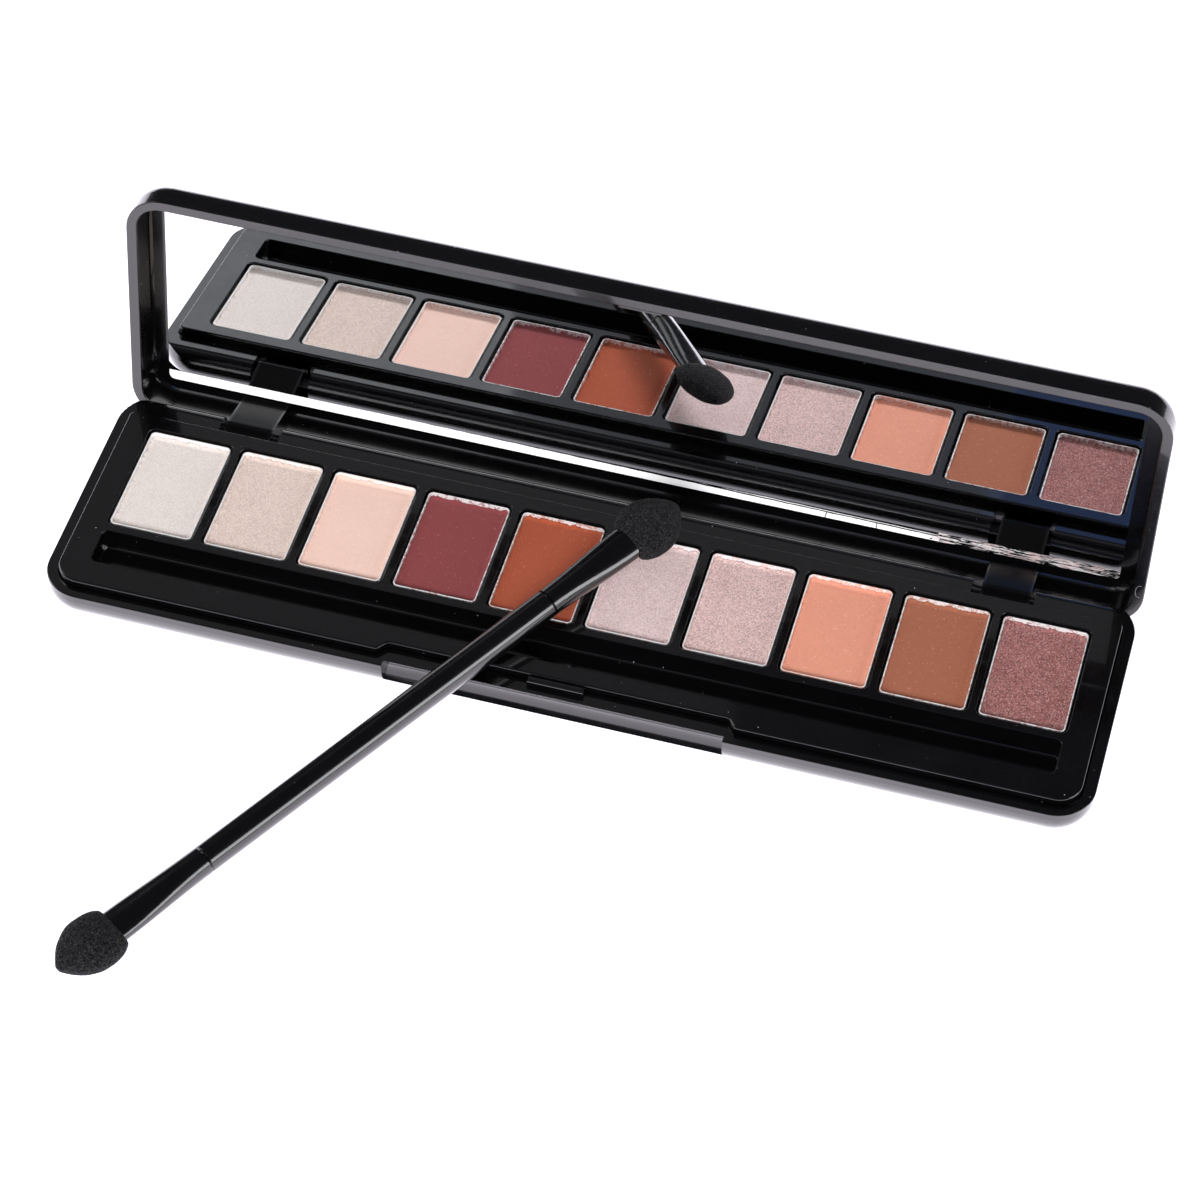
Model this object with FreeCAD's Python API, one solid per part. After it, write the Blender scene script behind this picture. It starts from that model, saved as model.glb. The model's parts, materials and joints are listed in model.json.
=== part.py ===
import FreeCAD, Part
import math
import os

V = FreeCAD.Vector

# ---------------------------------------------------------------- pans, mm
pan_count = 10
pan_w, pan_l, pan_h = 13.83, 21.08, 3.4
pan_web = 2.17              # pan to pan
pan_corner = 0.85
pan_wall = 0.22
pan_edge = 0.06             # rounding of the pan rim
pan_root = 0.3              # rounding under the pan
powder_drop = 0.8           # powder below the pan rim
powder_edge = 0.3           # pressed edge of the powder
pan_gap = 0.46              # pan to the side of its well
pan_drop = 0.3              # pan rim below the tray top
glue_t = 0.15
glue_inset = 2.0

# ---------------------------------------------------------------- tray
row_side = 4.835            # end of the pan row to the end of the tray
back_land = 3.21            # pans to the back edge of the tray
front_land = 4.9            # trough to the front edge of the tray
trough_from_pans = 1.91     # pans to the trough
trough_w = 6.85
trough_side = 4.75          # end of the trough to the end of the tray
trough_corner, trough_root = 1.0, 0.5
trough_floor = 1.3          # moulding left under the trough
tray_step = 1.4             # tray top above the base rim
tray_gap = 0.1              # tray to the base, all round
tray_clear = 0.64           # underside of the tray above the round of the base
tray_tighter = 2.6          # front corners of the tray, tighter than those of the case
tray_back_corner = 0.8
tray_edge = 0.3             # rounding of the tray's outer edge
well_edge = 0.12            # rounding of the edges of the wells and the trough
jog_x = 29.2                # half length of the set-back behind the notch
jog_run = 1.4               # length of the slanted part of the set-back
jog_depth = 1.75
jog_round = 0.9
post_r = 2.0                # posts under the tray
post_pans = (0, 3, 6, 9)    # pans that stand over the posts

# ---------------------------------------------------------------- base
base_h = 6.9                # table to the base rim
base_round = 5.6            # rounding under the base
corner_over = 1.0           # plan corner larger than the rounding
rim_w = 2.05                # width of the base rim
rim_edge = 0.2              # rounding of the rims' edges
base_floor = 1.4
base_skin = 0.8             # wall left inside the base rounding
rear_bar = 5.5              # hinge bar along the back of the base
bar_step = 0.52             # flat in front of the round of the bar
bar_end = 1.3               # plan rounding of the bar at the slots

# ---------------------------------------------------------------- notch, catch
notch_len = 55.6
notch_top = 1.25            # set-back of the notch at the rim
notch_lean = 0.25           # how far the notch leans out lower down
notch_low = 2.4             # height where the notch runs out
notch_bow = 0.85            # how far it is hollowed
nub_len, nub_w, nub_h = 9.2, 1.3, 1.2
nub_edge = 0.4
nub_gap = 0.4               # nub to the lid ridge
ridge_h = 0.3
ridge_len = 7.0
ridge_low, ridge_high = 0.1, 0.7        # ridge above the lid rim

# ---------------------------------------------------------------- hinge
pivot_clear = 0.15          # bar to the lid rim as it turns
knuckle_clear = 0.1         # knuckle smaller than the bar
hinge_from_end = 16.9       # end of the case to the slot
tab_w = 8.0
slot_gap_out, slot_gap_in = 0.8, 1.5    # tab to the sides of its slot
pin_r = 0.75
pin_fit = 0.05              # running fit of the tab on its pin
pin_bite = 2.6              # pin length held in the base each side
open_angle = 96.8           # stop of the lid, from shut
tab_neck = 1.1              # front of the tab above the pivot, at its root
neck_angle = 0.2            # radians, where the neck leaves the knuckle
neck_reach = 3.0            # depth of the root inside the lid

# ---------------------------------------------------------------- lid, mirror
rim_gap = 0.15              # rim to rim when the case is shut
lid_over = 0.1              # lid behind the base
lid_round = 4.0             # rounding over the lid
lid_side, lid_wall = 1.9, 1.8           # rim of the lid at its ends, and front and back
lid_corner = 4.3            # corners of the lid's mouth
lid_top_t = 1.1
lid_skin = 0.65             # wall left inside the lid rounding
mirror_side = 4.7           # lid edge to mirror edge
mirror_depth = 5.5          # rim plane to mirror face
mirror_t = 0.45
mirror_corner = 1.0
mirror_strip = 1.9          # bright strip along its hinge edge
tape_t = 0.05
tape_inset = 1.5

# ---------------------------------------------------------------- applicator
handle_d, handle_len = 4.75, 70.0
bore_d, bore_fit, plug_len = 3.4, 0.02, 6.0
joint_gap = 0.3             # groove between the handle and a ferrule
handle_edge = 0.15          # rounding of the handle's ends
ferrule_len = 17.2
ferrule_end_w, ferrule_end_t = 5.9, 3.3
tongue_w, tongue_t, tongue_len = 3.0, 0.8, 6.5
tongue_fit = 0.05
sponge_len, sponge_w, sponge_t = 10.7, 9.9, 4.8
fat_share = 0.35            # fattest part of the sponge, share of its length
# sponge outline: share of the length, of the width, of the thickness
sponge_form = ((0.0, 0.74, 0.66), (0.08, 0.87, 0.84), (0.2, 0.96, 0.96), (0.35, 1.0, 1.0),
               (0.5, 0.98, 0.98), (0.65, 0.86, 0.89), (0.78, 0.67, 0.74), (0.88, 0.46, 0.55),
               (0.95, 0.27, 0.38), (1.0, 0.1, 0.16))
app_yaw = 56.9              # direction of the applicator on the table
roll_upper, roll_lower = 18.0, 4.0      # twist of its two flat ends
app_rest = 0.05             # play under the applicator where it rests
app_low_x, app_low_y = -54.24, -83.1     # fattest part of the lower sponge
tiny = 0.01

# ---------------------------------------------------------------- derived
pan_pitch = pan_w + pan_web
row_len = pan_count * pan_pitch - pan_web
half_tray = row_len / 2 + row_side
half_len = half_tray + tray_gap + rim_w
tray_depth = front_land + trough_w + trough_from_pans + pan_l + back_land
half_depth = (rim_w + tray_gap + tray_depth + tray_gap + rear_bar) / 2
case_len = 2 * half_len
corner_r = base_round + corner_over
tray_corner = corner_r - tray_tighter
pocket_front = -half_depth + rim_w
pocket_back = half_depth - rear_bar
tray_front, tray_back = pocket_front + tray_gap, pocket_back - tray_gap
trough_front = tray_front + front_land
trough_back = trough_front + trough_w
trough_x = half_tray - trough_side
row_y = trough_back + trough_from_pans + pan_l / 2
pan_x = [(i - (pan_count - 1) / 2) * pan_pitch for i in range(pan_count)]
tray_top = base_h + tray_step
skin_r = base_round - base_skin
skin_in = base_round - rim_w - tray_gap
tray_z = base_round - math.sqrt(skin_r ** 2 - skin_in ** 2) + tray_clear
trough_z = tray_z + trough_floor
pan_top = tray_top - pan_drop
pan_z = pan_top - pan_h
well_z = pan_z - glue_t
bar_r = (rear_bar - bar_step) / 2
axis_y = half_depth - bar_r
axis_z = base_h - bar_r
knuckle_r = bar_r - knuckle_clear
slot_out = half_len - hinge_from_end
tab_out = slot_out - slot_gap_out
tab_in = tab_out - tab_w
slot_in = tab_in - slot_gap_in
lid_z = base_h + rim_gap
lid_back = half_depth + lid_over
mirror_z = lid_z + mirror_depth
lid_floor = mirror_z + mirror_t + tape_t
lid_top = lid_floor + lid_top_t
mirror_back = lid_back - mirror_side
mirror_front = -half_depth + mirror_side

os.makedirs("parts", exist_ok=True)


def rounded_polygon(points, z):
    """Face from (x, y, corner radius) points, drawn at height z."""
    edges, ends = [], []
    n = len(points)
    for i in range(n):
        (ax, ay, _), (bx, by, r), (cx, cy, _) = points[i - 1], points[i], points[(i + 1) % n]
        corner = V(bx, by, z)
        to_a = (V(ax, ay, z) - corner).normalize()
        to_c = (V(cx, cy, z) - corner).normalize()
        turn = to_a.getAngle(to_c)
        reach = r / math.tan(turn / 2)
        middle = (to_a + to_c).normalize()
        apex = corner + middle * (r / math.sin(turn / 2) - r)
        start, end = corner + to_a * reach, corner + to_c * reach
        edges.append(Part.Arc(start, apex, end).toShape())
        ends.append((start, end))
    lines = []
    for i in range(n):
        lines.append(edges[i])
        a, b = ends[i][1], ends[(i + 1) % n][0]
        if a.distanceToPoint(b) > 1e-6:
            lines.append(Part.makeLine(a, b))
    return Part.Face(Part.Wire(lines))


def slab(x0, x1, y0, y1, z0, z1, r):
    """Upright block with rounded plan corners."""
    pts = [(x0, y0, r), (x1, y0, r), (x1, y1, r), (x0, y1, r)]
    return rounded_polygon(pts, z0).extrude(V(0, 0, z1 - z0))


def box(x0, x1, y0, y1, z0, z1):
    return Part.makeBox(x1 - x0, y1 - y0, z1 - z0, V(x0, y0, z0))


def rod(r, length, start, direction):
    return Part.makeCylinder(r, length, start, direction)


def edges_at(shape, z):
    """Edges of a shape that lie at one height."""
    found = []
    for e in shape.Edges:
        b = e.BoundBox
        if abs(b.ZMin - z) < 1e-4 and abs(b.ZMax - z) < 1e-4:
            found.append(e)
    return found


def soften(shape, z, r):
    """Round the edges of a shape at one height."""
    return shape.makeFillet(r, edges_at(shape, z))


def save(name, shape):
    shape.removeSplitter().exportStep("parts/" + name + ".step")


def tray_outline(grow, z0, z1):
    """Tray plan with the set-back behind the notch, grown all round."""
    x1, yf, yb = half_tray + grow, tray_front - grow, tray_back + grow
    ys = yf + jog_depth
    front_r, back_r = tray_corner + grow, tray_back_corner + grow
    pts = [(-x1, yf, front_r), (-jog_x, yf, jog_round), (-jog_x + jog_run, ys, jog_round),
           (jog_x - jog_run, ys, jog_round), (jog_x, yf, jog_round), (x1, yf, front_r),
           (x1, yb, back_r), (-x1, yb, back_r)]
    return rounded_polygon(pts, z0).extrude(V(0, 0, z1 - z0))


def x_mirror(shape):
    return shape.mirror(V(0, 0, 0), V(1, 0, 0))


# ---------------------------------------------------------------- base shell
body = slab(-half_len, half_len, -half_depth, half_depth, 0, base_h, corner_r)
body = soften(body, 0, base_round)

inner = slab(-half_len + base_skin, half_len - base_skin, -half_depth + base_skin,
             half_depth - base_skin, base_skin, base_h + 1, corner_r - base_skin)
inner = soften(inner, base_skin, skin_r)
pocket = tray_outline(tray_gap, base_floor, base_h + 1)
body = body.cut(pocket.common(inner))
body = soften(body, base_h, rim_edge)

# hollow of the notch: a groove through three points of its section
a = (-half_depth + notch_top, base_h)
b = (-half_depth + notch_top - notch_lean, notch_low)
chord = math.hypot(a[0] - b[0], a[1] - b[1])
notch_r = (chord ** 2 / 4 + notch_bow ** 2) / (2 * notch_bow)
notch = rod(notch_r, notch_len, V(-notch_len / 2, (a[0] + b[0]) / 2 + notch_bow - notch_r,
                                  (a[1] + b[1]) / 2), V(1, 0, 0))
body = body.cut(notch)

# the bar is turned off about the pivot, so the lid rim can swing past it
swing = box(-half_len, half_len, axis_y, half_depth + 1, axis_z, base_h + 1)
swing = swing.cut(rod(bar_r, case_len, V(-half_len, axis_y, axis_z), V(1, 0, 0)))
body = body.cut(swing)

slot_z = axis_z - bar_r - pivot_clear
pin_x0, pin_len = slot_in - pin_bite, slot_out - slot_in + 2 * pin_bite
for side in (0, 1):
    slot = box(slot_in, slot_out, tray_back, half_depth + 1, slot_z, base_h + 1)
    end_x, end_y = slot_in - bar_end, pocket_back + bar_end
    flare = box(end_x, slot_in + tiny, tray_back, end_y, slot_z, base_h + 1)
    flare = flare.cut(rod(bar_end, base_h, V(end_x, end_y, slot_z), V(0, 0, 1)))
    slot = slot.fuse(flare)
    hole = rod(pin_r, pin_len, V(pin_x0, axis_y, axis_z), V(1, 0, 0))
    if side:
        slot, hole = x_mirror(slot), x_mirror(hole)
    body = body.cut(slot).cut(hole)
save("base_shell", body)

# ---------------------------------------------------------------- tray
tray = tray_outline(0, tray_z, tray_top)
tray = soften(tray, tray_top, tray_edge)
for x in pan_x:
    well = slab(x - pan_w / 2 - pan_gap, x + pan_w / 2 + pan_gap, row_y - pan_l / 2 - pan_gap,
                row_y + pan_l / 2 + pan_gap, well_z, tray_top + 1, pan_corner + pan_gap)
    tray = tray.cut(well)
trough = slab(-trough_x, trough_x, trough_front, trough_back, trough_z, tray_top + 1, trough_corner)
trough = soften(trough, trough_z, trough_root)
tray = tray.cut(trough)
mouths = [e for e in edges_at(tray, tray_top) if abs(e.CenterOfMass.x) < half_tray - row_side / 2
          and trough_front - pan_gap < e.CenterOfMass.y < tray_back - back_land / 2]
tray = tray.makeFillet(well_edge, mouths)
for x in [pan_x[i] for i in post_pans]:
    for y in (row_y - pan_l / 3, row_y + pan_l / 3):
        tray = tray.fuse(rod(post_r, tray_z - base_floor, V(x, y, base_floor), V(0, 0, 1)))
save("pan_tray", tray)

# ---------------------------------------------------------------- pans, powder, glue
pads = []
for i, x in enumerate(pan_x):
    x0, x1, y0, y1 = x - pan_w / 2, x + pan_w / 2, row_y - pan_l / 2, row_y + pan_l / 2
    pan = slab(x0, x1, y0, y1, pan_z, pan_top, pan_corner)
    pan = soften(pan, pan_z, pan_root)
    hollow = slab(x0 + pan_wall, x1 - pan_wall, y0 + pan_wall, y1 - pan_wall,
                  pan_z + pan_wall, pan_top + 1, pan_corner - pan_wall)
    save("pan_%02d" % (i + 1), soften(pan.cut(hollow), pan_top, pan_edge))
    powder = slab(x0 + pan_wall, x1 - pan_wall, y0 + pan_wall, y1 - pan_wall,
                  pan_z + pan_wall, pan_top - powder_drop, pan_corner - pan_wall)
    powder = powder.makeChamfer(powder_edge, edges_at(powder, pan_top - powder_drop))
    save("powder_%02d" % (i + 1), powder)
    pads.append(slab(x0 + glue_inset, x1 - glue_inset, y0 + glue_inset, y1 - glue_inset,
                     well_z, pan_z, pan_corner))
save("pan_glue", Part.makeCompound(pads))

# ---------------------------------------------------------------- catch nub
ridge_y = -half_depth + lid_wall
nub_front = ridge_y + ridge_h + nub_gap
nub = box(-nub_len / 2, nub_len / 2, nub_front, nub_front + nub_w, base_h, base_h + nub_h)
nub = soften(nub, base_h + nub_h, nub_edge)
save("catch_nub", nub)

# ---------------------------------------------------------------- pins
for side, name in ((1, "hinge_pin_right"), (-1, "hinge_pin_left")):
    start = V(pin_x0 if side > 0 else -pin_x0, axis_y, axis_z)
    save(name, rod(pin_r, pin_len, start, V(side, 0, 0)))


# ---------------------------------------------------------------- lid, built shut
def opened(shape):
    """Turn a piece of the lid from shut to its open stop."""
    s = shape.copy()
    s.rotate(V(0, axis_y, axis_z), V(1, 0, 0), -open_angle)
    return s


shell = slab(-half_len, half_len, -half_depth, lid_back, lid_z, lid_top, corner_r)
shell = soften(shell, lid_top, lid_round)
outer = shell.copy()
inner = slab(-half_len + lid_skin, half_len - lid_skin, -half_depth + lid_skin, lid_back - lid_skin,
             lid_z - 1, lid_top - lid_skin, corner_r - lid_skin)
inner = soften(inner, lid_top - lid_skin, lid_round - lid_skin)
mouth = slab(-half_len + lid_side, half_len - lid_side, -half_depth + lid_wall, lid_back - lid_wall,
             lid_z - 1, lid_floor, lid_corner)
shell = soften(shell.cut(mouth.common(inner)), lid_z, rim_edge)

# ridge that snaps behind the nub, on the inside of the front wall
ridge = box(-ridge_len / 2, ridge_len / 2, ridge_y - ridge_h, ridge_y + ridge_h,
            lid_z + ridge_low, lid_z + ridge_high)
shell = shell.fuse(ridge)

for side in (1, -1):
    root = box(tab_in, tab_out, axis_y - neck_reach, lid_back, lid_z, lid_floor)
    leave = V(tab_in, axis_y - knuckle_r * math.cos(neck_angle),
              axis_z + knuckle_r * math.sin(neck_angle))
    neck = Part.Face(Part.makePolygon([
        leave, V(tab_in, axis_y - tab_neck, lid_floor), V(tab_in, lid_back, lid_floor),
        V(tab_in, axis_y + knuckle_r, axis_z), leave]))
    neck = neck.extrude(V(tab_out - tab_in, 0, 0))
    low = neck.cut(box(tab_in - 1, tab_out + 1, 0, lid_back + 1, lid_z, lid_floor + 1))
    reach = box(tab_in - 1, tab_out + 1, 0, axis_y + knuckle_r, 0, lid_z)
    tab = neck.common(root).common(outer).fuse(low.common(reach))
    tab = tab.fuse(rod(knuckle_r, tab_out - tab_in, V(tab_in, axis_y, axis_z), V(1, 0, 0)))
    tab = tab.cut(rod(pin_r + pin_fit, tab_out - tab_in + 2, V(tab_in - 1, axis_y, axis_z), V(1, 0, 0)))
    shell = shell.fuse(tab if side > 0 else x_mirror(tab))
save("lid_shell", opened(shell))

mirror_x = half_len - mirror_side
sheet = slab(-mirror_x, mirror_x, mirror_front, mirror_back, mirror_z, mirror_z + mirror_t,
             mirror_corner)
strip = box(-mirror_x, mirror_x, mirror_back - mirror_strip, mirror_back, mirror_z,
            mirror_z + mirror_t)
save("mirror_glass", opened(sheet.cut(strip)))
save("mirror_edge_strip", opened(sheet.common(strip)))
tape = slab(-mirror_x + tape_inset, mirror_x - tape_inset, mirror_front + tape_inset,
            mirror_back - tape_inset, mirror_z + mirror_t, lid_floor, mirror_corner)
save("mirror_tape", opened(tape))


# ---------------------------------------------------------------- applicator, along X
def ellipse_wire(x, w, t):
    """Section across the applicator at x, w wide and t thick, w the larger."""
    return Part.Wire([Part.Ellipse(V(x, w / 2, 0), V(x, 0, t / 2), V(x, 0, 0)).toShape()])


def blend(a, b, s):
    return a + (b - a) * s


handle = rod(handle_d / 2, handle_len - 2 * joint_gap, V(-handle_len / 2 + joint_gap, 0, 0), V(1, 0, 0))
handle = handle.makeFillet(handle_edge, [e for e in handle.Edges if len(e.Vertexes) == 1])
half_handle = handle_len / 2
for side in (1, -1):
    start = V(side * (half_handle + 1), 0, 0)
    handle = handle.cut(rod(bore_d / 2 + bore_fit, plug_len + 2, start, V(-side, 0, 0)))

ferrule_end = half_handle + ferrule_len
wires = []
for s in (0.0, 0.25, 0.5, 0.75, 1.0):
    ease = s * s * (3 - 2 * s)
    wires.append(ellipse_wire(blend(half_handle, ferrule_end, s),
                              blend(handle_d + tiny, ferrule_end_w, ease),
                              blend(handle_d, ferrule_end_t, ease)))
ferrule = Part.makeLoft(wires, True)
ferrule = ferrule.fuse(rod(bore_d / 2, plug_len + tiny, V(half_handle + tiny, 0, 0), V(-1, 0, 0)))
ferrule = ferrule.fuse(box(ferrule_end - tiny, ferrule_end + tongue_len, -tongue_w / 2, tongue_w / 2,
                           -tongue_t / 2, tongue_t / 2))

wires = [ellipse_wire(ferrule_end + tiny + s * sponge_len, w * sponge_w, t * sponge_t)
         for s, w, t in sponge_form]
sponge = Part.makeLoft(wires, True)
sponge = sponge.cut(box(ferrule_end - 1, ferrule_end + tongue_len + tongue_fit,
                        -tongue_w / 2 - tongue_fit, tongue_w / 2 + tongue_fit,
                        -tongue_t / 2 - tongue_fit, tongue_t / 2 + tongue_fit))

# it leans on the front edge of the tray, its lower sponge on the table
lean_y = tray_front + jog_depth
fat = ferrule_end + fat_share * sponge_len
run = (lean_y - app_low_y) / math.sin(math.radians(app_yaw))


def pitched(shape, flip, pitch):
    """Twist a piece, turn it end for end if asked, and tilt it about the fat of the lower sponge."""
    s = shape.copy()
    s.rotate(V(0, 0, 0), V(1, 0, 0), -roll_lower if flip else roll_upper)
    if flip:
        s.rotate(V(0, 0, 0), V(0, 0, 1), 180)
    s.translate(V(fat, 0, 0))
    s.rotate(V(0, 0, 0), V(0, 1, 0), -pitch)
    return s


# tilt and height that touch both, found by repeating
app_pitch, low_z = 0.0, 0.0
for _ in range(6):
    low_z = app_rest - pitched(sponge, True, app_pitch).optimalBoundingBox().ZMin
    over = tray_top + app_rest + handle_d / 2 / math.cos(math.radians(app_pitch))
    app_pitch = math.degrees(math.atan2(over - low_z, run))


def laid(shape, flip):
    """Put a piece of the applicator where it rests."""
    s = pitched(shape, flip, app_pitch)
    s.rotate(V(0, 0, 0), V(0, 0, 1), app_yaw)
    s.translate(V(app_low_x, app_low_y, low_z))
    return s


save("applicator_handle", laid(handle, False))
for flip, end in ((False, "upper"), (True, "lower")):
    save("ferrule_" + end, laid(ferrule, flip))
    save("sponge_tip_" + end, laid(sponge, flip))
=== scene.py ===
import bpy
import json
import math
from mathutils import Matrix, Vector, noise


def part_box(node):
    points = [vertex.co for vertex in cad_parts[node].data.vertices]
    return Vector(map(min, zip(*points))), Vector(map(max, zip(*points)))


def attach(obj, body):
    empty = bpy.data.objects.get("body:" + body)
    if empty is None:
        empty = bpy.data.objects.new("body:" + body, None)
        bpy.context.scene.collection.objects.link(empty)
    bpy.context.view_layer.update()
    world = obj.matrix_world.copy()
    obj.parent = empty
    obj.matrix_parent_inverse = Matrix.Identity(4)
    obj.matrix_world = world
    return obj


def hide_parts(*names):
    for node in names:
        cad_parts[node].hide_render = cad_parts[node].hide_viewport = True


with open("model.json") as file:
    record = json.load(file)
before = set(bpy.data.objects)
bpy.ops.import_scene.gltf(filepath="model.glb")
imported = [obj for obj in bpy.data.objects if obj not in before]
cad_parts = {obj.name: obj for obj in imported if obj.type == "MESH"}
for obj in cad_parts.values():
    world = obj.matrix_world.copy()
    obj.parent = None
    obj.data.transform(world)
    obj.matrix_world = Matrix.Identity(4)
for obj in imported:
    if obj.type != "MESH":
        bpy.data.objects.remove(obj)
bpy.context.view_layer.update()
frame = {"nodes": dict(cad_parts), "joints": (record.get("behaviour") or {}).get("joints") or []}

MM = 0.001
nodes = frame["nodes"]

# hinge tabs of the open lid, mm: middle and half width along X, top, and how far back they reach
TAB_X, TAB_HALF, TAB_TOP, TAB_BACK = 64.2, 4.0, 7.2, 29.0
LID_LEAN = math.radians(6.8)        # open lid, past upright
LID_RIM = 2.64                      # rim plane of the open lid behind the pivot, mm

# pressed powder, mm
CAKE_STEP, CAKE_CORNER = 0.17, 0.75
CLING_WIDTH, CLING_MOST = 0.5, 0.68     # powder that clings to the wall of the tin
DIP_AT, DIP_WIDTH, DIP_DEPTH = 0.8, 0.35, 0.07

# foam, mm
FOAM_VOXEL = 0.13
PORES_PER_MM, PORE_SHARE, PORE_DEPTH = 2.3, 0.42, 0.19
SWELL_SIZE, SWELL_DEPTH = 2.0, 0.07

# half ring on the lid, mm: from the end of the lid, above the pivot, half sizes, thickness
MARK_IN, MARK_UP, MARK_WIDE, MARK_HIGH, MARK_R = 0.95, 5.4, 0.62, 1.25, 0.045
MARK_POINTS, MARK_START, MARK_SWEEP, MARK_PROUD = 9, 70, 220, 0.01


# ---------------------------------------------------------------- node helpers
class Mat:
    """A material under construction; lengths in its textures are millimetres of the object."""

    def __init__(self, name):
        self.mat = bpy.data.materials.new(name)
        self.mat.use_nodes = True
        self.tree = self.mat.node_tree
        self.bsdf = self.tree.nodes["Principled BSDF"]
        coord = self.add("ShaderNodeTexCoord")
        scale = self.add("ShaderNodeVectorMath")
        scale.operation = "SCALE"
        scale.inputs["Scale"].default_value = 1 / MM
        self.link(coord.outputs["Object"], scale.inputs[0])
        self.mm = scale.outputs[0]

    def add(self, kind):
        return self.tree.nodes.new(kind)

    def link(self, a, b):
        self.tree.links.new(a, b)

    def put(self, value, socket):
        if isinstance(value, bpy.types.NodeSocket):
            self.link(value, socket)
        else:
            socket.default_value = value

    def set(self, **values):
        """Set inputs of the surface; an underscore in a name stands for a space."""
        for name, value in values.items():
            if isinstance(value, tuple):
                value = (*value, 1)
            self.put(value, self.bsdf.inputs[name.replace("_", " ")])

    def math(self, op, a, b=0.0):
        node = self.add("ShaderNodeMath")
        node.operation = op
        self.put(a, node.inputs[0])
        self.put(b, node.inputs[1])
        return node.outputs[0]

    def times(self, a, b):
        return self.math("MULTIPLY", a, b)

    def plus(self, a, b):
        return self.math("ADD", a, b)

    def minus(self, a, b):
        return self.math("SUBTRACT", a, b)

    def less(self, a, b):
        return self.math("LESS_THAN", a, b)

    def more(self, a, b):
        return self.math("GREATER_THAN", a, b)

    def most(self, a, b):
        return self.math("MAXIMUM", a, b)

    def size(self, a):
        return self.math("ABSOLUTE", a)

    def axes(self):
        """The object's X, Y and Z in millimetres."""
        node = self.add("ShaderNodeSeparateXYZ")
        self.link(self.mm, node.inputs[0])
        return node.outputs

    def stretch(self, factors):
        node = self.add("ShaderNodeVectorMath")
        node.operation = "MULTIPLY"
        self.link(self.mm, node.inputs[0])
        node.inputs[1].default_value = factors
        return node.outputs[0]

    def noise(self, size, detail=3.0, rough=0.55, vector=None, distort=0.0):
        node = self.add("ShaderNodeTexNoise")
        self.link(vector or self.mm, node.inputs["Vector"])
        node.inputs["Scale"].default_value = 1 / size
        node.inputs["Detail"].default_value = detail
        node.inputs["Roughness"].default_value = rough
        node.inputs["Distortion"].default_value = distort
        return node.outputs["Fac"]

    def cells(self, size, vector=None, feature="F1"):
        node = self.add("ShaderNodeTexVoronoi")
        node.feature = feature
        self.link(vector or self.mm, node.inputs["Vector"])
        node.inputs["Scale"].default_value = 1 / size
        return node.outputs

    def chance(self, cells):
        """Three values that differ from cell to cell."""
        node = self.add("ShaderNodeSeparateColor")
        self.link(cells["Color"], node.inputs[0])
        return node.outputs

    def span(self, value, lo, hi, to_lo=0.0, to_hi=1.0, smooth=False):
        node = self.add("ShaderNodeMapRange")
        if smooth:
            node.interpolation_type = "SMOOTHSTEP"
        self.put(value, node.inputs["Value"])
        for name, v in (("From Min", lo), ("From Max", hi), ("To Min", to_lo), ("To Max", to_hi)):
            node.inputs[name].default_value = v
        return node.outputs["Result"]

    def mix(self, fac, a, b):
        """Colour between two colours, each a node's output or a tuple."""
        node = self.add("ShaderNodeMix")
        node.data_type = "RGBA"
        self.put(fac, node.inputs["Factor"])
        for value, socket in ((a, node.inputs[6]), (b, node.inputs[7])):
            self.put((*value, 1) if isinstance(value, tuple) else value, socket)
        return node.outputs[2]

    def bump(self, height, depth, after=None):
        node = self.add("ShaderNodeBump")
        node.inputs["Strength"].default_value = 1.0
        node.inputs["Distance"].default_value = depth * MM
        self.link(height, node.inputs["Height"])
        if after:
            self.link(after, node.inputs["Normal"])
        return node.outputs["Normal"]

    def specks(self, cell, radius, share):
        """Mask of sparse specks, one in some of the cells."""
        vor = self.cells(cell)
        near = self.less(vor["Distance"], radius / cell)
        return self.times(near, self.less(self.chance(vor)[0], share))


def scaled(colour, by, plus=0.0):
    return tuple(min(1.0, c * by + plus) for c in colour)


def dress(names, mat):
    for name in names:
        obj = nodes[name]
        if not obj.material_slots:
            obj.data.materials.append(mat)
        for slot in obj.material_slots:
            slot.material = mat


def new_object(name, data):
    obj = bpy.data.objects.new(name, data)
    bpy.context.collection.objects.link(obj)
    return obj


def register(obj, body, replaced=None):
    """Say what a visual piece moves with, and hide the node it stands for."""
    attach(obj, body)
    if replaced:
        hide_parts(replaced)


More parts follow.
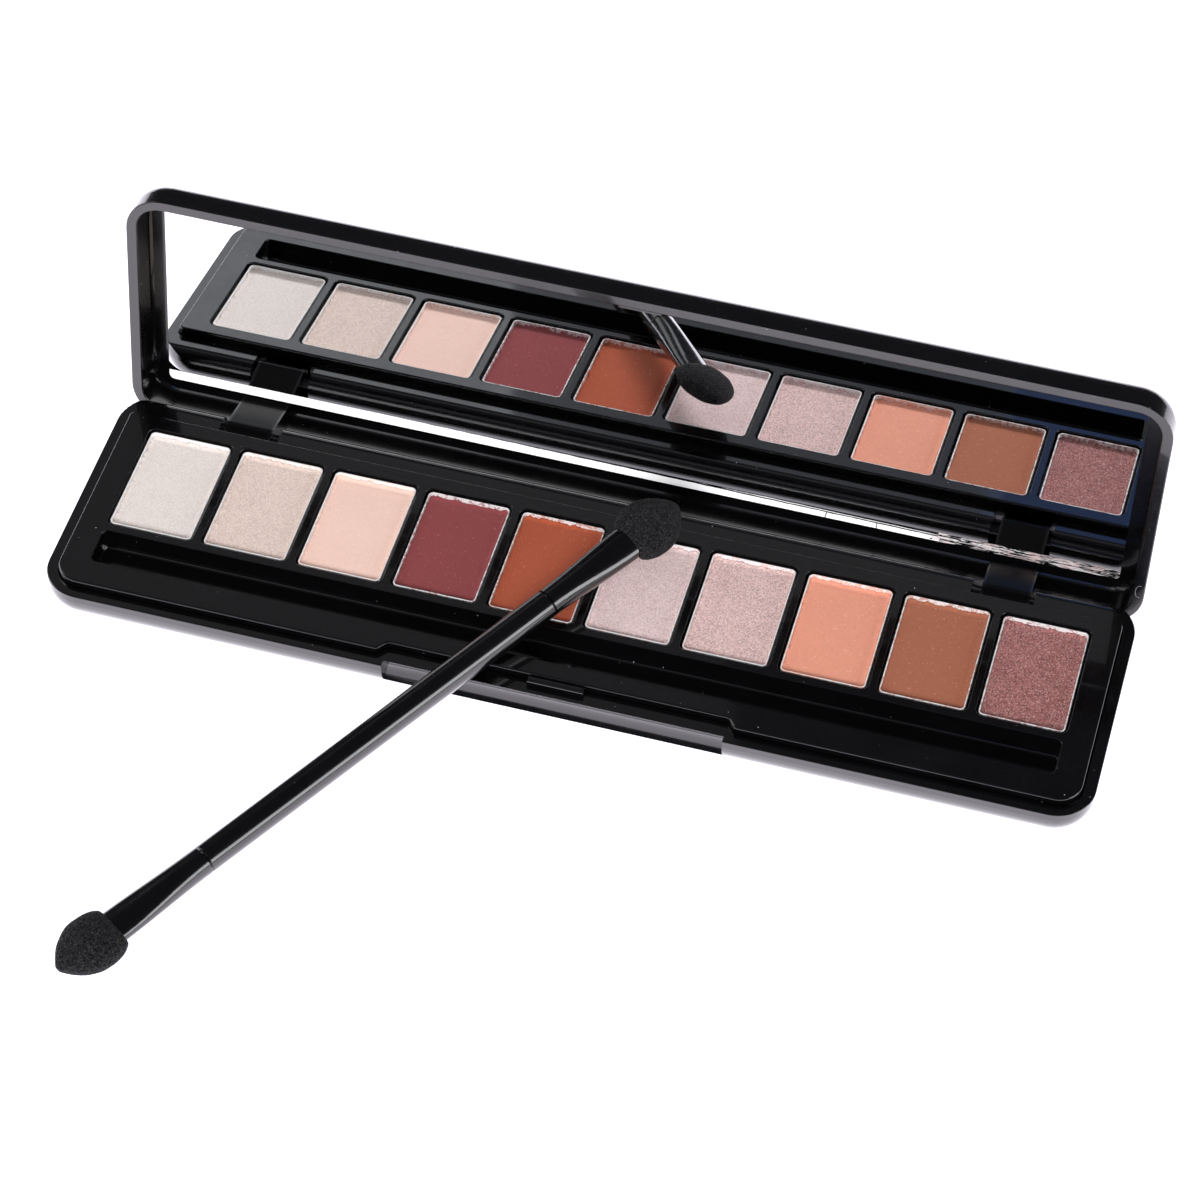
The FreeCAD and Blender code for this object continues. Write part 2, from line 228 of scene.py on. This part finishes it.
# ---------------------------------------------------------------- black mouldings
def black_plastic(name, dust=0.35, worn_tabs=False):
    """Polished black with dust specks; the lid's tabs are worn dull."""
    m = Mat(name)
    cloud = m.noise(9.0, 4.0)
    wear = m.noise(1.3, 2.0, 0.5)
    dots = m.most(m.specks(2.9, 0.085, dust), m.specks(1.1, 0.045, dust * 0.3))
    black = m.mix(m.span(cloud, 0.35, 0.65), (0.00096, 0.00096, 0.00114), (0.0018, 0.0018, 0.00216))
    under = m.span(m.times(m.plus(cloud, wear), 0.5), 0.35, 0.65, 0.17, 0.25)
    m.set(Base_Color=m.mix(dots, black, (0.5, 0.5, 0.52)), Roughness=m.most(under, m.times(dots, 0.8)),
          Normal=m.bump(m.noise(3.5, 2.0), 0.0015), IOR=1.52,
          Coat_Weight=1.0, Coat_Roughness=0.035, Coat_IOR=1.52)
    if worn_tabs:
        x, y, z = m.axes()
        past_side = m.minus(m.size(m.minus(m.size(x), TAB_X)), TAB_HALF)
        inside = m.times(m.less(z, TAB_TOP), m.less(y, TAB_BACK))
        worn = m.times(m.span(past_side, -0.6, 0.2, 1.0, 0.0, smooth=True), inside)
        m.set(Coat_Weight=m.span(worn, 0, 1, 1.0, 0.2), Coat_Roughness=m.span(worn, 0, 1, 0.035, 0.35),
              Specular_IOR_Level=m.span(worn, 0, 1, 0.5, 0.15))
    return m.mat


dress(["base_shell", "catch_nub"], black_plastic("case_black"))
dress(["lid_shell"], black_plastic("lid_black", worn_tabs=True))
dress(["pan_tray"], black_plastic("tray_black", dust=0.5))
dress(["applicator_handle", "ferrule_upper", "ferrule_lower"], black_plastic("stick_black", dust=0.3))

# ---------------------------------------------------------------- pins, glue, tape
m = Mat("pin_steel")
drawn = m.noise(0.25, 3.0, vector=m.stretch((0.02, 1, 1)))
m.set(Base_Color=m.mix(drawn, (0.035, 0.035, 0.04), (0.09, 0.09, 0.10)), Metallic=1.0,
      Roughness=m.span(drawn, 0.3, 0.7, 0.35, 0.55), Normal=m.bump(drawn, 0.01))
dress(["hinge_pin_right", "hinge_pin_left"], m.mat)

m = Mat("glue")
m.set(Base_Color=m.mix(m.noise(1.2), (0.62, 0.56, 0.42), (0.82, 0.78, 0.66)), Roughness=0.35,
      Normal=m.bump(m.noise(0.8), 0.05))
dress(["pan_glue"], m.mat)

m = Mat("tape")
fibre = m.noise(0.3, 4.0, vector=m.stretch((0.15, 1, 1)))
m.set(Base_Color=m.mix(fibre, (0.6, 0.6, 0.58), (0.85, 0.85, 0.82)), Roughness=0.7,
      Normal=m.bump(fibre, 0.02))
dress(["mirror_tape"], m.mat)

# ---------------------------------------------------------------- mirror
m = Mat("mirror")
smear = m.noise(6.0, 4.0)
spots = m.specks(3.4, 0.07, 0.35)
m.set(Base_Color=m.mix(spots, (0.93, 0.94, 0.95), (0.5, 0.5, 0.52)), Metallic=1.0,
      Roughness=m.plus(m.span(smear, 0.4, 0.8, 0.0, 0.03), m.times(spots, 0.5)),
      Normal=m.bump(m.noise(14.0, 1.0), 0.0015))
dress(["mirror_glass"], m.mat)

# bright strip: it narrows and gains a second thin line to the right, and ends in flakes. It also glows
# faintly, which is painted light, and its pinkish tint in the cracked part is a painted reflection.
m = Mat("mirror_edge")
along, _, height = m.axes()
wander = m.noise(2.5, 3.0, 0.6)
wobble = m.span(m.noise(0.8, 3.0, vector=m.stretch((0.3, 1, 1))), 0.3, 0.7, -0.05, 0.05)
bevel = m.plus(m.span(along, -45.0, 45.0, 7.45, 6.55), wobble)
line = m.less(m.size(m.minus(height, m.plus(bevel, 0.32))), 0.07)
line = m.times(line, m.span(m.plus(along, m.times(wander, 20.0)), 22.0, 30.0))
rare = m.cells(13.0, m.stretch((1, 0.3, 0.3)), "DISTANCE_TO_EDGE")
nick = m.times(m.less(rare["Distance"], 0.005), m.more(along, 26.0))
whole = m.most(m.times(m.less(height, bevel), m.minus(1.0, nick)), line)

cracked = m.span(along, 46.0, 56.0, smooth=True)
streaks = m.noise(0.26, 5.0, 0.75, vector=m.stretch((0.07, 1, 1)), distort=0.8)
flakes = m.more(m.plus(streaks, m.times(wander, 0.3)), 0.67)
gone = m.more(cracked, m.noise(1.6, 3.0))
shown = m.plus(m.times(whole, m.minus(1.0, gone)), m.times(flakes, gone))
# white, pinkish in the cracked part as a painted reflection; it is also the colour of the faint glow,
# which is painted light
strip_colour_and_glow = m.mix(m.times(cracked, m.span(wander, 0.4, 0.6)), (0.98, 0.98, 0.99), (0.66, 0.52, 0.52))
m.set(Base_Color=m.mix(shown, (0.55, 0.56, 0.58), strip_colour_and_glow), Metallic=m.span(shown, 0, 1, 1.0, 0.1),
      Roughness=m.plus(m.times(shown, 0.3), m.times(cracked, 0.12)),
      Emission_Color=strip_colour_and_glow, Emission_Strength=m.times(shown, m.span(cracked, 0, 1, 0.3, 0.05)),
      Normal=m.bump(m.times(streaks, cracked), 0.08))
dress(["mirror_edge_strip"], m.mat)

# ---------------------------------------------------------------- pans and pressed powder
# colour, colour of the pearl, share of pearl, grain in mm, its light and dark spread (partly the
# powder's own grain, partly painted glint), strength of the pressed lines
SHADES = {
    1: ((0.78, 0.70, 0.66), (1.0, 0.95, 0.91), 0.10, 0.17, 0.14, 0.35),
    2: ((0.72, 0.58, 0.52), (1.0, 0.90, 0.82), 0.14, 0.17, 0.24, 0.25),
    3: ((0.88, 0.61, 0.52), (1.0, 0.80, 0.72), 0.02, 0.20, 0.05, 0.80),
    4: ((0.255, 0.052, 0.056), (0.45, 0.14, 0.17), 0.02, 0.20, 0.10, 0.80),
    5: ((0.41, 0.086, 0.038), (0.60, 0.20, 0.10), 0.02, 0.20, 0.09, 0.80),
    6: ((0.78, 0.56, 0.55), (1.0, 0.92, 0.94), 0.20, 0.14, 0.36, 0.30),
    7: ((0.68, 0.45, 0.43), (1.0, 0.86, 0.83), 0.28, 0.15, 0.54, 0.15),
    8: ((0.77, 0.32, 0.22), (0.95, 0.55, 0.42), 0.02, 0.20, 0.06, 0.80),
    9: ((0.37, 0.125, 0.068), (0.60, 0.30, 0.20), 0.02, 0.20, 0.08, 0.60),
    10: ((0.29, 0.11, 0.105), (0.80, 0.50, 0.48), 0.26, 0.16, 0.72, 0.10),
}
MATTE = 0.05        # share of pearl below which a shade has no metallic glint


def powder_material(n):
    colour, pearl, share, grain, grain_and_glint_contrast, lines = SHADES[n]
    m = Mat("powder_%02d" % n)
    grit = m.chance(m.cells(grain))
    shiny = m.span(grit[1], 1.0 - share, 1.0)
    tone = m.plus(m.times(grit[0], 0.8), m.times(m.noise(grain * 2.2, 3.0, 0.8), 0.2))
    tone = m.plus(tone, m.span(m.noise(5.0, 4.0, 0.6), 0.3, 0.7, -0.05, 0.05))
    # the light and dark grain, and the pearl colour in the shiny cells, are partly the powder's own
    # grain and partly painted glints
    body = m.mix(tone, scaled(colour, 1 - grain_and_glint_contrast), scaled(colour, 1 + grain_and_glint_contrast))
    body = m.mix(m.times(shiny, 0.7), body, pearl)
    # dark specks: painted shade of small pits
    pit_shade, motes = m.specks(2.2, 0.08, 0.22), m.specks(3.1, 0.06, 0.10)
    body = m.mix(m.times(pit_shade, 0.6), body, scaled(colour, 0.4))
    body = m.mix(m.times(motes, 0.7), body, (0.95, 0.93, 0.92))
    press = m.noise(0.24, 1.0, vector=m.stretch((1, 0.05, 0.05)))
    rough = m.bump(m.noise(0.2, 4.0, 0.7), 0.02 + 0.05 * grain_and_glint_contrast)
    m.set(Base_Color=body, Roughness=m.span(shiny, 0, 1, 0.85, 0.42),
          Metallic=m.times(shiny, 0.3) if share > MATTE else 0.0,
          Normal=m.bump(press, 0.03 * lines, after=rough), Sheen_Weight=0.12, Sheen_Roughness=0.5)
    return m.mat


def tin_material(n):
    """Bright pressed tin, dusted in patches with its powder."""
    m = Mat("pan_tin_%02d" % n)
    brushed = m.noise(0.5, 4.0, 0.65)
    dusting = m.more(m.noise(1.1, 5.0, 0.75), 0.53)
    tin = m.mix(brushed, (0.92, 0.92, 0.93), (1.0, 1.0, 1.0))
    m.set(Base_Color=m.mix(m.times(dusting, 0.75), tin, scaled(SHADES[n][0], 1.05, 0.06)),
          Metallic=m.span(dusting, 0, 1, 0.25, 0.0),
          Roughness=m.plus(m.span(brushed, 0.3, 0.7, 0.3, 0.45), m.times(dusting, 0.35)),
          Normal=m.bump(brushed, 0.03))
    return m.mat


def powder_rise(at, wall):
    """Height of the powder in mm above its flat, at a point and a distance from the wall, both in mm."""
    swell = noise.noise(at * 0.22) * 0.035 + noise.noise(at * 1.1) * 0.012
    rub = noise.noise(at * 4.0) * 0.006
    cling = max(0.0, 0.14 + 0.55 * noise.noise(at * 0.6) + 0.40 * noise.noise(at * 2.1))
    climb = max(0.0, 1 - wall / CLING_WIDTH) ** 2 * min(cling, CLING_MOST)
    dip = -DIP_DEPTH * math.exp(-((wall - DIP_AT) / DIP_WIDTH) ** 2)
    return swell + rub + climb + dip


def pressed_powder(n):
    """Powder cake of one pan: fine surface, and a ragged edge that clings to the tin."""
    node, name = "powder_%02d" % n, "cake_%02d" % n
    lo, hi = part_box(node)
    cx, cy = (lo[0] + hi[0]) / 2, (lo[1] + hi[1]) / 2
    hx, hy = (hi[0] - lo[0]) / 2, (hi[1] - lo[1]) / 2
    corner, step, top = CAKE_CORNER * MM, CAKE_STEP * MM, hi[2]
    seed = Vector((n * 7.3, n * 3.1, 0))
    nx, ny = round(2 * hx / step), round(2 * hy / step)
    row = nx + 1
    verts, faces = [], []
    for j in range(ny + 1):
        for i in range(nx + 1):
            x, y = -hx + 2 * hx * i / nx, -hy + 2 * hy * j / ny
            px, py = abs(x) - (hx - corner), abs(y) - (hy - corner)
            if px > 0 and py > 0:
                length = math.hypot(px, py)
                scale = max(px, py) / length
                x = math.copysign(hx - corner + px * scale, x)
                y = math.copysign(hy - corner + py * scale, y)
            wall = min(i, nx - i, j, ny - j) * step / MM
            rise = powder_rise(Vector((x, y, 0)) / MM + seed, wall)
            verts.append((cx + x, cy + y, top + rise * MM))
    for j in range(ny):
        for i in range(nx):
            a = j * row + i
            faces.append((a, a + 1, a + row + 1, a + row))

    # sides and underside
    ring = [i for i in range(row)] + [j * row + nx for j in range(1, ny + 1)] + \
        [ny * row + i for i in range(nx - 1, -1, -1)] + [j * row for j in range(ny - 1, 0, -1)]
    first = len(verts)
    verts += [(verts[v][0], verts[v][1], lo[2]) for v in ring]
    for k in range(len(ring)):
        after = (k + 1) % len(ring)
        faces.append((ring[k], first + k, first + after, ring[after]))
    faces.append(tuple(first + k for k in reversed(range(len(ring)))))

    mesh = bpy.data.meshes.new(name)
    mesh.from_pydata(verts, [], faces)
    for poly in mesh.polygons:
        poly.use_smooth = len(poly.vertices) == 4
    mesh.materials.append(powder_material(n))
    register(new_object(name, mesh), "base", node)


for n in SHADES:
    dress(["pan_%02d" % n], tin_material(n))
    pressed_powder(n)


# ---------------------------------------------------------------- foam tips
def foam_material():
    m = Mat("foam")
    pores, small = m.cells(0.46), m.cells(0.24)
    pore_dent_and_shade = m.most(m.span(pores["Distance"], 0.5, 0.25),
                  m.times(m.span(small["Distance"], 0.45, 0.2), 0.7))
    glint = m.chance(m.cells(0.16))[0]
    skin = m.mix(m.noise(2.5, 3.0), (0.0065, 0.0065, 0.0075), (0.012, 0.012, 0.0135))
    skin = m.mix(m.span(glint, 0.72, 1.0), skin, (0.05, 0.05, 0.054))
    # the pores are painted near-black: painted shade in the pores
    body = m.mix(pore_dent_and_shade, skin, (0.0006, 0.0006, 0.0006))
    lint = m.specks(1.9, 0.09, 0.3)
    m.set(Base_Color=m.mix(m.times(lint, 0.6), body, (0.4, 0.4, 0.42)), Roughness=0.85,
          Normal=m.bump(m.minus(1.0, pore_dent_and_shade), 0.15), Sheen_Weight=0.04, Sheen_Roughness=0.4)
    return m.mat


foam = foam_material()


def foam_tip(end):
    """Foam tip grown from its solid: open pores all over the skin."""
    node = "sponge_tip_" + end
    obj = new_object("foam_" + end, nodes[node].data.copy())
    remesh = obj.modifiers.new("remesh", "REMESH")
    remesh.mode = "VOXEL"
    remesh.voxel_size = FOAM_VOXEL * MM
    done = bpy.data.meshes.new_from_object(obj.evaluated_get(bpy.context.evaluated_depsgraph_get()))
    obj.modifiers.clear()
    obj.data = done
    places = [(v.co.copy(), v.normal.copy()) for v in done.vertices]
    for v, (point, out) in zip(done.vertices, places):
        at = point / MM
        near = noise.voronoi(at * PORES_PER_MM, distance_metric="DISTANCE", exponent=2.5)[0][0]
        pore = max(0.0, 1 - near / PORE_SHARE)
        swell = noise.noise(at / SWELL_SIZE) * SWELL_DEPTH
        v.co = point + out * (swell - PORE_DEPTH * pore) * MM
    for poly in done.polygons:
        poly.use_smooth = True
    done.materials.clear()
    done.materials.append(foam)
    register(obj, "applicator", node)


for end in ("upper", "lower"):
    foam_tip(end)


# ---------------------------------------------------------------- mould mark on the lid
def lid_point(x, along, proud):
    """Point on the open lid: along its rim plane from the pivot, and proud of that plane."""
    pivot = next(j for j in frame["joints"] if j["name"] == "lid_hinge")["pos_m"]
    up = Vector((0, math.sin(LID_LEAN), math.cos(LID_LEAN)))
    back = Vector((0, math.cos(LID_LEAN), -math.sin(LID_LEAN)))
    return Vector((x, pivot[1], pivot[2])) + up * along + back * (LID_RIM * MM - proud)


def mould_mark():
    """Half ring of witness line left by the mould on the right-hand rim, coloured light grey as a
    painted highlight.
    """
    m = Mat("mark")
    # light grey on the black lid: a painted highlight along the ring
    m.set(Base_Color=m.mix(m.noise(0.3), (0.10, 0.10, 0.11), (0.30, 0.30, 0.32)), Roughness=0.15)
    curve = bpy.data.curves.new("mould_mark", "CURVE")
    curve.dimensions = "3D"
    curve.bevel_depth = MARK_R * MM
    curve.bevel_resolution = 3
    spline = curve.splines.new("NURBS")
    spline.points.add(MARK_POINTS - 1)
    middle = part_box("lid_shell")[1][0] - MARK_IN * MM
    for k in range(MARK_POINTS):
        turn = math.radians(MARK_START + MARK_SWEEP * k / (MARK_POINTS - 1))
        at = lid_point(middle + MARK_WIDE * MM * math.cos(turn),
                       (MARK_UP + MARK_HIGH * math.sin(turn)) * MM, MARK_PROUD * MM)
        spline.points[k].co = (*at, 1)
    spline.order_u = 3
    spline.use_endpoint_u = True
    curve.materials.append(m.mat)
    register(new_object("mould_mark", curve), "lid")


mould_mark()

# ---------------------------------------------------------------- stage
# the floor glows a little, like a light table
m = Mat("floor")
m.set(Base_Color=m.mix(m.noise(120.0, 2.0), (0.66, 0.64, 0.70), (0.69, 0.67, 0.72)), Roughness=0.9,
      Emission_Color=(0.95, 0.90, 1.0), Emission_Strength=1.15)
bpy.ops.mesh.primitive_plane_add(size=12, location=(0, 0, 0))
floor = bpy.context.object
floor.name = "floor"
floor.data.materials.append(m.mat)


# ---------------------------------------------------------------- light
def softbox(name, at, size, power, colour=(1, 1, 1), mirrored=True):
    """Area light aimed at the object; one that isn't mirrored adds light but no highlight."""
    light = bpy.data.lights.new(name, "AREA")
    light.shape = "RECTANGLE"
    light.size, light.size_y = size
    light.energy = power
    light.color = colour
    obj = new_object(name, light)
    obj.location = at
    obj.rotation_euler = (-Vector(at)).to_track_quat("-Z", "Y").to_euler()
    obj.visible_glossy = mirrored


softbox("overhead", (-0.1, 0.05, 1.3), (1.3, 1.0), 3.6, mirrored=False)
softbox("front", (0.0, -1.5, 1.0), (0.8, 0.6), 33.5, mirrored=False)
softbox("left", (-1.2, 0.25, 0.8), (0.7, 0.9), 4.5, (1.0, 0.98, 0.97))
softbox("right", (1.35, -0.25, 0.42), (0.9, 0.55), 7.0, (0.97, 0.98, 1.0))
softbox("low_left", (-1.15, -1.3, 0.55), (0.9, 0.55), 1.3)

# faint cards that show only as reflections in the black plastic, straight or by way of the mirror
softbox("mirror_left", (-0.56, -1.5, 0.98), (0.34, 0.3), 0.33, (0.93, 0.96, 1.0))
softbox("back_left", (-0.5, 1.0, 1.2), (0.6, 0.5), 0.1)
softbox("top_front", (-0.22, -0.65, 1.33), (0.68, 0.4), 0.14)
softbox("mirror_mid", (-0.23, -1.5, 0.98), (0.32, 0.3), 0.085, (0.88, 0.93, 1.0))
softbox("window", (0.06, -1.5, 0.9), (0.26, 0.34), 0.12, (0.16, 0.36, 1.0))

# the surroundings are pale to the camera and dark in reflections
world = bpy.data.worlds.new("studio")
bpy.context.scene.world = world
world.use_nodes = True
tree = world.node_tree
path = tree.nodes.new("ShaderNodeLightPath")
shade = tree.nodes.new("ShaderNodeMix")
shade.data_type = "RGBA"
shade.inputs[6].default_value = (0.042, 0.042, 0.05, 1)
shade.inputs[7].default_value = (0.95, 0.95, 0.96, 1)
tree.links.new(path.outputs["Is Camera Ray"], shade.inputs["Factor"])
tree.links.new(shade.outputs[2], tree.nodes["Background"].inputs["Color"])

# ---------------------------------------------------------------- camera
eye = Vector((0.10569, -0.41006, 0.49730))
look = Vector((0.002056, -0.000918, 0.008))
roll = math.radians(1.481)
camera = bpy.data.cameras.new("camera")
camera.lens, camera.sensor_width = 121.09, 36.0
camera.clip_start = 0.01
cam = new_object("camera", camera)
turn = (look - eye).to_track_quat("-Z", "Y").to_matrix() @ Matrix.Rotation(roll, 3, "Z")
cam.matrix_world = Matrix.Translation(eye) @ turn.to_4x4()
bpy.context.scene.camera = cam
bpy.context.scene.view_settings.view_transform = "Standard"
bpy.context.scene.view_settings.look = "None"
